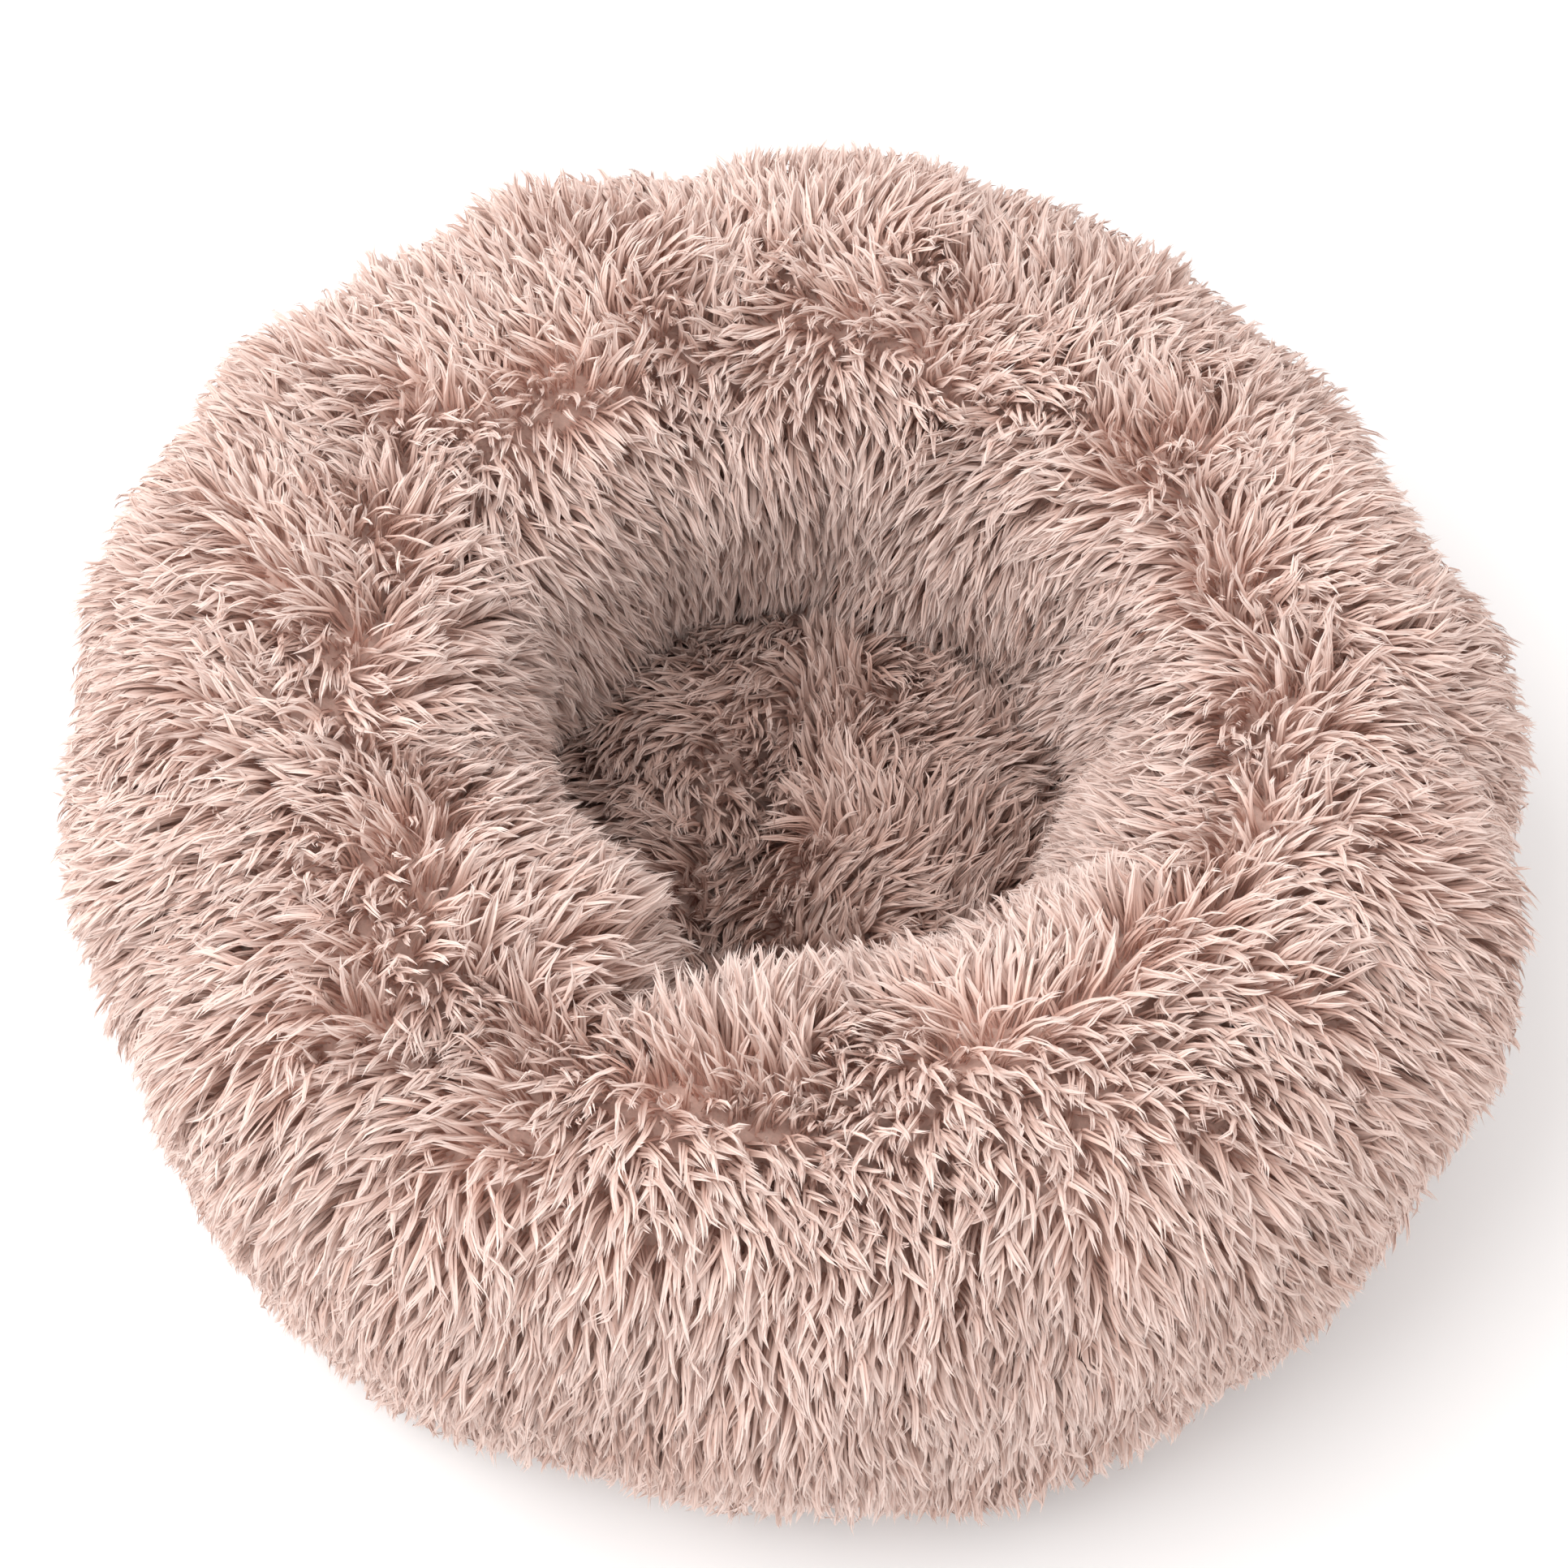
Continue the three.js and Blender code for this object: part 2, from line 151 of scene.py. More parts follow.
# Folds across the ring and the swells beside them: azimuth, turn, depth, and reach both ways.
folds = [
    (248, 140, 0.027, 8, 44),
    (222, 148, -0.019, 17, 32),
    (283, 150, -0.003, 20, 26),
    (20, 160, 0.010, 30, 34),
    (318, 118, -0.005, 18, 30),
]


def wave_set(seed, wavelength, count=12):
    """Waves of about one length that run in every direction, for an uneven surface."""
    rng = np.random.default_rng(seed)
    along = rng.normal(size=(count, 3))
    along /= np.linalg.norm(along, axis=1)[:, None]
    lengths = wavelength * rng.uniform(0.7, 1.5, count)
    return along * (2 * np.pi / lengths)[:, None], rng.uniform(0, 2 * np.pi, count)


def hills(points, waves):
    """The height of an uneven surface at each point, about 1 at most places."""
    steps, shifts = waves
    return np.cos(points @ steps.T + shifts).sum(1) * math.sqrt(2 / len(shifts))


def ring_point(azimuth, turn, depth):
    """Points at a depth under the even pile surface, for angles in degrees."""
    a, s = np.radians(azimuth), np.radians(turn)
    crown = np.sin(s) >= 0
    power = 2 / np.where(crown, crown_fullness, foot_fullness)
    above = ring_top - ring_belly - depth
    below = ring_belly - foot_clearance
    slump = np.zeros(np.broadcast(a, s).shape)
    for bulge_azimuth, bulge_reach, amount in bulges:
        apart = (azimuth - bulge_azimuth + 180) % 360 - 180
        slump = slump + amount * np.exp(-(apart / bulge_reach) ** 2)
    # A push moves the outer wall and fades over the crest, so the well keeps its place.
    slump = slump * np.clip((1 + np.cos(s)) / 1.6, 0, 1)
    out = ring_middle + slump + (ring_half - depth) * np.sign(np.cos(s)) * np.abs(np.cos(s)) ** power
    up = ring_belly + np.where(crown, above, below) * np.sign(np.sin(s)) * np.abs(np.sin(s)) ** power
    return np.stack([out * np.cos(a), out * np.sin(a), up], -1)


lump_waves = wave_set(11, 0.13)


def lumpy_ring(azimuth, turn):
    """The backing's surface: the even ring with its lumps and pits."""
    even = ring_point(azimuth, turn, pile_lie)
    outward = even - ring_point(azimuth, turn, pile_lie + 0.02)
    outward /= np.linalg.norm(outward, axis=-1, keepdims=True)
    free = np.clip((even[..., 2] - 0.01) / 0.05, 0, 1)
    swell = lump_height * hills(even.reshape(-1, 3), lump_waves).reshape(free.shape) * free
    for pit_azimuth, pit_turn, depth, reach in pits:
        centre = ring_point(np.array(pit_azimuth), np.array(pit_turn), pile_lie)
        gap = np.linalg.norm(even - centre, axis=-1) / reach
        swell = swell - depth * np.exp(-gap ** 2)
    for fold_azimuth, fold_turn, depth, across, along in folds:
        apart = np.abs((azimuth - fold_azimuth + 180) % 360 - 180) / across
        swell = swell - depth * np.exp(-apart ** 2 - ((turn - fold_turn) / along) ** 2)
    return even + outward * swell[..., None]


around_steps = 180
section_steps = 56
seam_margin = 6
filling_pressure = 4
most_push = 0.005
ring_form = bmesh.new()
turn_layer = ring_form.verts.layers.float.new("turn")
section_turns = np.linspace(outer_foot_turn, inner_foot_turn, section_steps)
section = []
for turn, place in zip(section_turns, ring_point(np.zeros(section_steps), section_turns, pile_lie)):
    corner = ring_form.verts.new(place)
    corner[turn_layer] = turn
    section.append(corner)
section_edges = [ring_form.edges.new(pair) for pair in zip(section, section[1:])]
bmesh.ops.spin(
    ring_form, geom=section + section_edges, cent=(0, 0, 0), axis=(0, 0, 1),
    angle=2 * math.pi, steps=around_steps, use_merge=True, use_duplicate=False,
)
even_places = np.array([v.co for v in ring_form.verts])
even_turns = np.array([v[turn_layer] for v in ring_form.verts])
even_azimuths = np.degrees(np.arctan2(even_places[:, 1], even_places[:, 0]))
for corner, place in zip(ring_form.verts, lumpy_ring(even_azimuths, even_turns)):
    corner.co = place
bmesh.ops.recalc_face_normals(ring_form, faces=ring_form.faces)
ring_backing = piece_of(ring_form, "ring_backing")


def places_of(mesh):
    """The places of all of a mesh's corners."""
    places = np.empty(len(mesh.vertices) * 3)
    mesh.vertices.foreach_get("co", places)
    return places.reshape(-1, 3)


def plump(piece, sewn, pressure, most, frames=20):
    """Lets the filling push the cloth out between its sewn places, by no more than a set amount."""
    before = places_of(piece.data)
    held = piece.vertex_groups.new(name="sewn")
    held.add([int(i) for i in np.flatnonzero(sewn)], 1.0, "REPLACE")
    cloth = piece.modifiers.new("filling", "CLOTH")
    cloth.settings.vertex_group_mass = held.name
    cloth.settings.use_pressure = True
    cloth.settings.uniform_pressure_force = pressure
    cloth.settings.effector_weights.gravity = 0
    for step in range(1, frames + 1):
        bpy.context.scene.frame_set(step)
    pushed = piece.evaluated_get(bpy.context.evaluated_depsgraph_get())
    move = places_of(pushed.data) - before
    piece.modifiers.remove(cloth)
    piece.vertex_groups.remove(held)
    bpy.context.scene.frame_set(1)
    length = np.linalg.norm(move, axis=1, keepdims=True)
    move *= np.minimum(1, most / np.maximum(length, 1e-9))
    piece.data.vertices.foreach_set("co", (before + move).ravel())
    piece.data.update()


ring_places = places_of(ring_backing.data)
sewn_ring = even_turns < outer_foot_turn + seam_margin
sewn_ring |= even_turns > inner_foot_turn - seam_margin
for pit_azimuth, pit_turn, depth, reach in pits:
    pit = lumpy_ring(np.array([pit_azimuth]), np.array([pit_turn]))
    sewn_ring |= np.linalg.norm(ring_places - pit, axis=1) < reach / 3
plump(ring_backing, sewn_ring, filling_pressure, most_push)


def smooth(piece):
    """Shades a piece as one rounded surface."""
    piece.data.polygons.foreach_set("use_smooth", np.ones(len(piece.data.polygons), bool))


smooth(ring_backing)


def plain_material(name, colour, roughness):
    """A new material with its nodes, its links and its shader, ready for a pattern."""
    paint = bpy.data.materials.new(name)
    paint.use_nodes = True
    shader = paint.node_tree.nodes["Principled BSDF"]
    shader.inputs["Roughness"].default_value = roughness
    shader.inputs["Base Color"].default_value = (*colour, 1)
    return paint, paint.node_tree.nodes, paint.node_tree.links, shader


def speckled_cloth(name, colour, roughness, grain, amount, bump):
    """Colour and relief from one fine grain, by a share of the colour either way."""
    paint, nodes, links, shader = plain_material(name, colour, roughness)
    place = nodes.new("ShaderNodeTexCoord")
    fine = nodes.new("ShaderNodeTexNoise")
    fine.inputs["Scale"].default_value = grain
    fine.inputs["Detail"].default_value = 4
    links.new(place.outputs["Object"], fine.inputs["Vector"])
    tint = nodes.new("ShaderNodeMix")
    tint.data_type = "RGBA"
    tint.inputs["A"].default_value = (*[c * (1 - amount) for c in colour], 1)
    tint.inputs["B"].default_value = (*[min(1, c * (1 + amount)) for c in colour], 1)
    links.new(fine.outputs["Fac"], tint.inputs["Factor"])
    links.new(tint.outputs["Result"], shader.inputs["Base Color"])
    relief = nodes.new("ShaderNodeBump")
    relief.inputs["Strength"].default_value = bump
    relief.inputs["Distance"].default_value = 0.0004
    links.new(fine.outputs["Fac"], relief.inputs["Height"])
    links.new(relief.outputs["Normal"], shader.inputs["Normal"])
    return paint


backing_knit = speckled_cloth(
    "backing_knit", (0.68, 0.475, 0.405), roughness=0.95, grain=700, amount=0.25, bump=0.8,
)
ring_backing.data.materials.append(backing_knit)
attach(ring_backing, "bed")
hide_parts("bolster_fur_cover")

# ---- Ring insert ----
# A bag of thin bonded cloth, closed under the ring with a whipped slit, and the loose
# polyester fibre that it holds. Both lie inside the cover and follow its lumps.


def inset_copy(piece, name, depth):
    """A closed form that lies at a depth inside a padded piece, its open foot bridged."""
    form = bmesh.new()
    form.from_mesh(piece.data)
    for corner in form.verts:
        corner.co -= corner.normal * depth
    rims = [edge for edge in form.edges if edge.is_boundary]
    if rims:
        bmesh.ops.bridge_loops(form, edges=rims)
    bmesh.ops.recalc_face_normals(form, faces=form.faces)
    made = piece_of(form, name)
    smooth(made)
    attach(made, "bed")
    return made


bonded_cloth = speckled_cloth(
    "bonded_liner_cloth", (0.80, 0.77, 0.72), roughness=0.9, grain=900, amount=0.10, bump=0.5,
)
loose_fibre = speckled_cloth(
    "polyester_fibre", (0.88, 0.87, 0.84), roughness=1.0, grain=260, amount=0.08, bump=0.8,
)
for name, depth, paint, node, slot in (
    ("ring_insert_bag", 0.0018, bonded_cloth, "bolster_liner_bag", "liner_cloth"),
    ("ring_insert_fibre", 0.0034, loose_fibre, "bolster_fibre_fill", "polyester_fibre"),
):
    insert = inset_copy(ring_backing, name, depth)
    insert.data.materials.append(paint)
    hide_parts(node)

# ---- Padded well ----
# The knitted backing of the round fur panel that lines the well, sewn to the ring all round.
# The pad under it is folded by its own filling: two lobes meet at a crease that runs to the
# front, and the deepest place is the front left corner.
well_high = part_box("well_fur_panel")[1]
well_pile = 0.022
well_level = well_high.z - well_pile
lobe_rise = 0.008
right_lobe, right_rise, right_reach = Vector((0.055, -0.012)), 0.013, 0.050
crease_back, crease_front = Vector((0.0, 0.05)), Vector((-0.042, -0.085))
crease_depth, crease_reach = 0.024, 0.018
rim_drop, rim_reach = 0.004, 0.16
corner_place, corner_drop, corner_reach = Vector((-0.040, -0.088)), 0.016, 0.035
pad_least, pad_ease = 0.024, 0.004


def well_height(across, along):
    """The level of the well's backing, which never falls below the pad's least thickness."""
    line = crease_front - crease_back
    share = (across - crease_back.x) * line.x + (along - crease_back.y) * line.y
    near = np.clip(share / line.length_squared, 0, 1.2)
    gap = np.hypot(across - crease_back.x - near * line.x, along - crease_back.y - near * line.y)
    edge = np.hypot(across, along) / ring_inner
    lobes = lobe_rise * np.clip(1 - edge ** 2, 0, 1)
    from_lobe = np.hypot(across - right_lobe.x, along - right_lobe.y)
    lobes = lobes + right_rise * np.exp(-from_lobe ** 2 / right_reach ** 2)
    corner = np.hypot(across - corner_place.x, along - corner_place.y) / corner_reach
    rim = rim_drop * np.exp(-((edge - 1) / rim_reach) ** 2) + corner_drop * np.exp(-corner ** 2)
    level = well_level + lobes - crease_depth * np.exp(-(gap / crease_reach) ** 2) - rim
    return pad_least + pad_ease * np.log1p(np.exp((level - pad_least) / pad_ease))


well_rings = 30
well_spokes = 96
well_form = bmesh.new()
spoke = []
for step in range(well_rings + 1):
    spoke.append(well_form.verts.new((well_high.x * step / well_rings, 0, well_level)))
spoke_edges = [well_form.edges.new(pair) for pair in zip(spoke, spoke[1:])]
bmesh.ops.spin(
    well_form, geom=spoke + spoke_edges, cent=(0, 0, 0), axis=(0, 0, 1),
    angle=2 * math.pi, steps=well_spokes, use_merge=True, use_duplicate=False,
)
bmesh.ops.remove_doubles(well_form, verts=well_form.verts, dist=1e-6)
for corner in well_form.verts:
    corner.co.z = well_height(np.array(corner.co.x), np.array(corner.co.y))
bmesh.ops.recalc_face_normals(well_form, faces=well_form.faces)
well_backing = piece_of(well_form, "well_backing")
well_backing.data.materials.append(backing_knit)
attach(well_backing, "bed")
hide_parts("well_fur_panel")

# ---- Pad insert ----
# A round bag of the same bonded cloth, sewn closed round its rim, and the fibre that it
# holds. It lies loose under the well's fur panel and takes the panel's lobes.
pad_low, pad_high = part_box("pad_liner_bag")
pad_rings = 22
pad_spokes = 72
under_backing = 0.002
most_rise = 0.006
edge_fullness = 6


def pad_form(name, inset):
    """A closed, crowned disc that rises under the two lobes of the well."""
    form = bmesh.new()
    reach = pad_high.x - inset
    line = [form.verts.new((reach * step / pad_rings, 0, 0)) for step in range(pad_rings + 1)]
    bmesh.ops.spin(
        form, geom=line + [form.edges.new(pair) for pair in zip(line, line[1:])], cent=(0, 0, 0),
        axis=(0, 0, 1), angle=2 * math.pi, steps=pad_spokes, use_merge=True, use_duplicate=False,
    )
    bmesh.ops.remove_doubles(form, verts=form.verts, dist=1e-6)
    upper = list(form.verts)
    lower = bmesh.ops.duplicate(form, geom=form.faces[:] + form.edges[:] + form.verts[:])
    lower = [item for item in lower["geom"] if isinstance(item, bmesh.types.BMVert)]
    for side, corners in ((1, upper), (-1, lower)):
        for corner in corners:
            share = math.hypot(corner.co.x, corner.co.y) / reach
            backing = float(well_height(np.array(corner.co.x), np.array(corner.co.y)))
            top = min(backing - under_backing, pad_high.z + most_rise)
            middle = (top + pad_low.z) / 2
            round_off = math.sqrt(max(0, 1 - share ** edge_fullness))
            corner.co.z = middle + side * (middle - pad_low.z - inset) * round_off
    bmesh.ops.remove_doubles(form, verts=form.verts, dist=1e-6)
    bmesh.ops.recalc_face_normals(form, faces=form.faces)
    made = piece_of(form, name)
    smooth(made)
    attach(made, "bed")
    return made


for name, inset, paint, node, slot in (
    ("pad_insert_bag", 0, bonded_cloth, "pad_liner_bag", "liner_cloth"),
    ("pad_insert_fibre", 0.0015, loose_fibre, "pad_fibre_fill", "polyester_fibre"),
):
    insert = pad_form(name, inset)
    insert.data.materials.append(paint)
    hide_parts(node)

# ---- Base cloth ----
# Two halves of coated oxford cloth, sewn to the fur round the foot and hemmed along the zip.
# They lie flat on the foot and rise in the middle, so that the zip never touches the floor.
touch_gap = 0.0003
cloth_thickness = 0.0012
slack_height = 0.0012
zip_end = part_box("zip_top_stop_front")[0].x - touch_gap
recess_radius = zip_end + 0.027
recess_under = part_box("care_label")[1].z + touch_gap
foot_inner = recess_radius + 0.012
foot_outer = foot_inner + 0.054
base_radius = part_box("base_panel_rear")[1].y
grip_height = 0.0008
window_length = zip_end + 0.006
window_width = 0.008
halves = {"front": -1, "rear": 1}


def base_height(radius):
    """The level of the cloth's upper side at a distance from the bed's axis."""
    foot_top = grip_height + cloth_thickness
    slope = np.clip((foot_inner - radius) / (foot_inner - recess_radius), 0, 1)
    raised = foot_top + (recess_under + cloth_thickness - foot_top) * slope ** 2 * (3 - 2 * slope)
    out = np.clip((radius - ring_middle) / (ring_half - 0.02), 0, 0.999)
    turn_up = ring_belly - (ring_belly - 0.0023) * (1 - out ** 4) ** 0.25 - touch_gap
    share = np.clip((radius - foot_outer) / 0.008, 0, 1)
    return raised + (turn_up - foot_top) * share


slack_waves = wave_set(41, 0.09)
base_spokes = 120
base_radii = np.concatenate([
    np.linspace(0, recess_radius, 18), np.linspace(recess_radius, foot_inner, 7)[1:],
    np.linspace(foot_inner, foot_outer, 7)[1:], np.linspace(foot_outer, base_radius, 9)[1:],
])


def base_half(side):
    """One half of the base, cut from a turned disc, with its half of the zip's window."""
    form = bmesh.new()
    line = [form.verts.new((radius, 0, float(base_height(radius)))) for radius in base_radii]
    bmesh.ops.spin(
        form, geom=line + [form.edges.new(pair) for pair in zip(line, line[1:])], cent=(0, 0, 0),
        axis=(0, 0, 1), angle=2 * math.pi, steps=base_spokes, use_merge=True, use_duplicate=False,
    )
    bmesh.ops.remove_doubles(form, verts=form.verts, dist=1e-6)
    bmesh.ops.recalc_face_normals(form, faces=form.faces)
    if sum(face.normal.z for face in form.faces) < 0:
        bmesh.ops.reverse_faces(form, faces=form.faces)
    cuts = [
        ((0, side * touch_gap / 2, 0), (0, side, 0), True),
        ((0, side * window_width, 0), (0, side, 0), False),
        ((window_length, 0, 0), (1, 0, 0), False),
        ((-window_length, 0, 0), (1, 0, 0), False),
    ]
    for place, way, cleared in cuts:
        bmesh.ops.bisect_plane(
            form, geom=form.verts[:] + form.edges[:] + form.faces[:], dist=1e-7,
            plane_co=place, plane_no=way, clear_inner=cleared,
        )
    window = []
    for face in form.faces:
        middle = face.calc_center_median()
        if abs(middle.x) < window_length and abs(middle.y) < window_width:
            window.append(face)
    bmesh.ops.delete(form, geom=window, context="FACES")
    for corner in form.verts:
        radius = math.hypot(corner.co.x, corner.co.y)
        off_zip = min(1, max(0, (abs(corner.co.y) - 0.02) / 0.04))
        off_foot = min(1, max(0, (recess_radius - radius) / 0.03))
        wave = float(hills(np.array([corner.co[:]]), slack_waves)[0])
        corner.co.z += slack_height * (off_zip * off_foot) * max(0, 0.5 + wave)
    return form


def finished_piece(form, name, body, paint):
    """A smooth piece with its material, the body that it rides on and its material's slot."""
    made = piece_of(form, name)
    smooth(made)
    made.data.materials.append(paint)
    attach(made, body)
    return made


def woven_cloth(name, colour, roughness, across, along, contrast, relief):
    """Threads in both directions at the given spacings, or in one where a spacing is 0."""
    paint, nodes, links, shader = plain_material(name, colour, roughness)
    place = nodes.new("ShaderNodeTexCoord")
    height = None
    for direction, spacing in (("X", across), ("Y", along)):
        if not spacing:
            continue
        threads = nodes.new("ShaderNodeTexWave")
        threads.bands_direction = direction
        threads.inputs["Scale"].default_value = 2 * math.pi / (20 * spacing)
        threads.inputs["Distortion"].default_value = 0.6
        threads.inputs["Detail"].default_value = 1
        links.new(place.outputs["Object"], threads.inputs["Vector"])
        if height is None:
            height = threads.outputs["Fac"]
        else:
            crossing = nodes.new("ShaderNodeMath")
            crossing.operation = "ADD"
            crossing.use_clamp = True
            links.new(height, crossing.inputs[0])
            links.new(threads.outputs["Fac"], crossing.inputs[1])
            height = crossing.outputs["Value"]
    wear = nodes.new("ShaderNodeTexNoise")
    wear.inputs["Scale"].default_value = 40
    wear.inputs["Detail"].default_value = 5
    links.new(place.outputs["Object"], wear.inputs["Vector"])
    worn = nodes.new("ShaderNodeMix")
    worn.data_type = "RGBA"
    worn.inputs["A"].default_value = (*colour, 1)
    worn.inputs["B"].default_value = (*[min(1, c * (1 + contrast)) for c in colour], 1)
    links.new(wear.outputs["Fac"], worn.inputs["Factor"])
    weave = nodes.new("ShaderNodeMix")
    weave.data_type = "RGBA"
    weave.inputs["A"].default_value = (*[c * (1 - contrast) for c in colour], 1)
    links.new(worn.outputs["Result"], weave.inputs["B"])
    links.new(height, weave.inputs["Factor"])
    links.new(weave.outputs["Result"], shader.inputs["Base Color"])
    bumps = nodes.new("ShaderNodeBump")
    bumps.inputs["Strength"].default_value = 0.6
    bumps.inputs["Distance"].default_value = relief
    links.new(height, bumps.inputs["Height"])
    links.new(bumps.outputs["Normal"], shader.inputs["Normal"])
    return paint


oxford_cloth = woven_cloth(
    "coated_oxford_cloth", (0.17, 0.135, 0.12), roughness=0.8,
    across=0.0009, along=0.0009, contrast=0.35, relief=0.0002,
)
for half, side in halves.items():
    base = finished_piece(base_half(side), f"base_cloth_{half}", "bed", oxford_cloth)
    cloth = base.modifiers.new("cloth", "SOLIDIFY")
    cloth.thickness = cloth_thickness
    cloth.offset = -1
    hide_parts(f"base_panel_{half}")

# ---- Base hem and its stitches ----
# The cut edge along the zip is folded under and held by two rows of lockstitch. The halves
# are joined beyond the zip by a short seam, with a bar tack at each end of the opening.
hem_width = 0.009
hem_fold = 0.00026
stitch_length, stitch_pitch, stitch_thick = 0.0026, 0.0032, 0.0005
row_places = 0.0014, 0.0072
seam_offset = 0.0016
tack_pitch, tack_length = 0.0009, 0.003
sewing_thread = woven_cloth(
    "sewing_thread", (0.46, 0.36, 0.31), roughness=0.6,
    across=0.0004, along=0, contrast=0.3, relief=0.0001,
)


def stitch(form, place, turn, length=stitch_length):
    """One stitch: a plump, short run of thread, half sunk in the cloth."""
    made = bmesh.ops.create_icosphere(form, subdivisions=1, radius=0.5)["verts"]
    bmesh.ops.scale(form, vec=(length, stitch_thick, stitch_thick), verts=made)
    bmesh.ops.rotate(form, cent=(0, 0, 0), matrix=Matrix.Rotation(turn, 3, "Z"), verts=made)
    bmesh.ops.translate(form, vec=place, verts=made)


for half, side in halves.items():
    fold = bmesh.new()
    bmesh.ops.create_cube(fold, size=1)
    bmesh.ops.scale(fold, vec=(2 * window_length, hem_width, hem_fold), verts=fold.verts)
    fold_place = (0, side * (window_width + hem_width / 2), recess_under - hem_fold / 2)
    bmesh.ops.translate(fold, vec=fold_place, verts=fold.verts)
    bmesh.ops.bevel(
        fold, geom=fold.edges[:], offset=hem_fold / 3,
        affect="EDGES", segments=2, profile=0.5, material=-1,
    )
    hem = finished_piece(fold, f"base_hem_{half}", "bed", oxford_cloth)
    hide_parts(f"base_panel_{half}")
    sewn = bmesh.new()
    hem_level = recess_under - hem_fold
    for row in row_places:
        for x in np.arange(-window_length + 0.002, window_length - 0.001, stitch_pitch):
            stitch(sewn, (x, side * (window_width + row), hem_level), 0)
    for end in (-1, 1):
        for x in np.arange(window_length + 0.006, base_radius - 0.004, stitch_pitch):
            level = float(base_height(x)) - cloth_thickness
            stitch(sewn, (end * x, side * seam_offset, level), 0)
        for y in np.arange(0.0006, window_width, tack_pitch):
            tack = (end * (window_length + seam_offset), side * y, recess_under)
            stitch(sewn, tack, 0, tack_length)
    stitching = finished_piece(sewn, f"hem_stitches_{half}", "bed", sewing_thread)
    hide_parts(f"base_panel_{half}")

# ---- Grip dots ----
# Soft rubber dots printed in two rings on the foot of the base cloth and cured there.
# They keep the bed from sliding, and they are the only thing that touches the floor.
grip_rubber = speckled_cloth(
    "grip_dot_rubber", (0.075, 0.062, 0.057), roughness=0.55, grain=500, amount=0.35, bump=0.3,
)
dot_radius = 0.004
dot_face = 0.72
dot_sides = 14
for half, side in halves.items():
    dots = bmesh.new()
    for ring_share, count in ((0.25, 32), (0.75, 36)):
        reach = foot_inner + (foot_outer - foot_inner) * ring_share
        for i in range(count):
            angle = (i + 0.5) * 2 * math.pi / count
            if math.sin(angle) * side < 0:
                continue
            dot = bmesh.ops.create_cone(
                dots, cap_ends=True, segments=dot_sides,
                radius1=dot_radius * dot_face, radius2=dot_radius, depth=grip_height,
            )["verts"]
            place = (reach * math.cos(angle), reach * math.sin(angle), grip_height / 2)
            bmesh.ops.translate(dots, vec=place, verts=dot)
    printed = finished_piece(dots, f"grip_dots_{half}", "bed", grip_rubber)
    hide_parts(f"base_panel_{half}")

# ---- Zip ----
# Woven polyester tapes sewn inside the hems, each with a coil of nylon filament. The coils
# face each other across the slider's post. Crimped stops end the slider's run.
tape_weave = woven_cloth(
    "zip_tape_weave", (0.44, 0.31, 0.26), roughness=0.85,
    across=0.0011, along=0.0006, contrast=0.3, relief=0.00015,
)
for half in halves:
    tape = bpy.data.objects[f"zip_tape_{half}"]
    tape.data.materials.clear()
    tape.data.materials.append(tape_weave)

nylon = speckled_cloth(
    "nylon_filament", (0.40, 0.28, 0.235), roughness=0.32, grain=300, amount=0.12, bump=0.1,
)
coil_pitch, filament = 0.002, 0.00066
coil_head = 0.00083  # from the zip's middle to the filament's, so that the slider's post is clear
points_per_turn = 12
for half, side in halves.items():
    coil_low, coil_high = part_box(f"zip_teeth_{half}")
    coil_outer = max(abs(coil_low.y), abs(coil_high.y)) - filament / 2
    turns = int((coil_high.x - coil_low.x - 2 * coil_pitch) / coil_pitch)
    run = np.arange(turns * points_per_turn + 1) / points_per_turn
    swing = 2 * np.pi * run
    x = coil_low.x + coil_pitch * (run + 0.75 + 0.25 * side)
    y = side * ((coil_outer + coil_head) / 2 + (coil_outer - coil_head) / 2 * np.cos(swing))
    z = (coil_low.z + coil_high.z) / 2 + (coil_high.z - coil_low.z - filament) / 2 * np.sin(swing)
    line = bpy.data.curves.new(f"zip_coil_{half}", "CURVE")
    line.dimensions = "3D"
    line.bevel_depth = filament / 2
    line.bevel_resolution = 1
    line.use_fill_caps = True
    filament_line = line.splines.new("POLY")
    filament_line.points.add(len(run) - 1)
    filament_line.points.foreach_set("co", np.stack([x, y, z, np.ones(len(run))], 1).ravel())
    line.materials.append(nylon)
    coil = bpy.data.objects.new(f"zip_coil_{half}", line)
    bpy.context.scene.collection.objects.link(coil)
    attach(coil, "bed")
    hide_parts(f"zip_teeth_{half}")


def satin_metal(name, colour, roughness):
    """Tumbled and plated metal, with fine scratches in its roughness and colour."""
    paint, nodes, links, shader = plain_material(name, colour, roughness)
    shader.inputs["Metallic"].default_value = 1
    place = nodes.new("ShaderNodeTexCoord")
    scratches = nodes.new("ShaderNodeTexNoise")
    scratches.inputs["Scale"].default_value = 1400
    scratches.inputs["Detail"].default_value = 3
    links.new(place.outputs["Object"], scratches.inputs["Vector"])
    spread = nodes.new("ShaderNodeMapRange")
    spread.inputs["To Min"].default_value = roughness - 0.08
    spread.inputs["To Max"].default_value = roughness + 0.14
    links.new(scratches.outputs["Fac"], spread.inputs["Value"])
    links.new(spread.outputs["Result"], shader.inputs["Roughness"])
    tint = nodes.new("ShaderNodeMix")
    tint.data_type = "RGBA"
    tint.inputs["A"].default_value = (*[c * 0.86 for c in colour], 1)
    tint.inputs["B"].default_value = (*colour, 1)
    links.new(scratches.outputs["Fac"], tint.inputs["Factor"])
    links.new(tint.outputs["Result"], shader.inputs["Base Color"])
    return paint


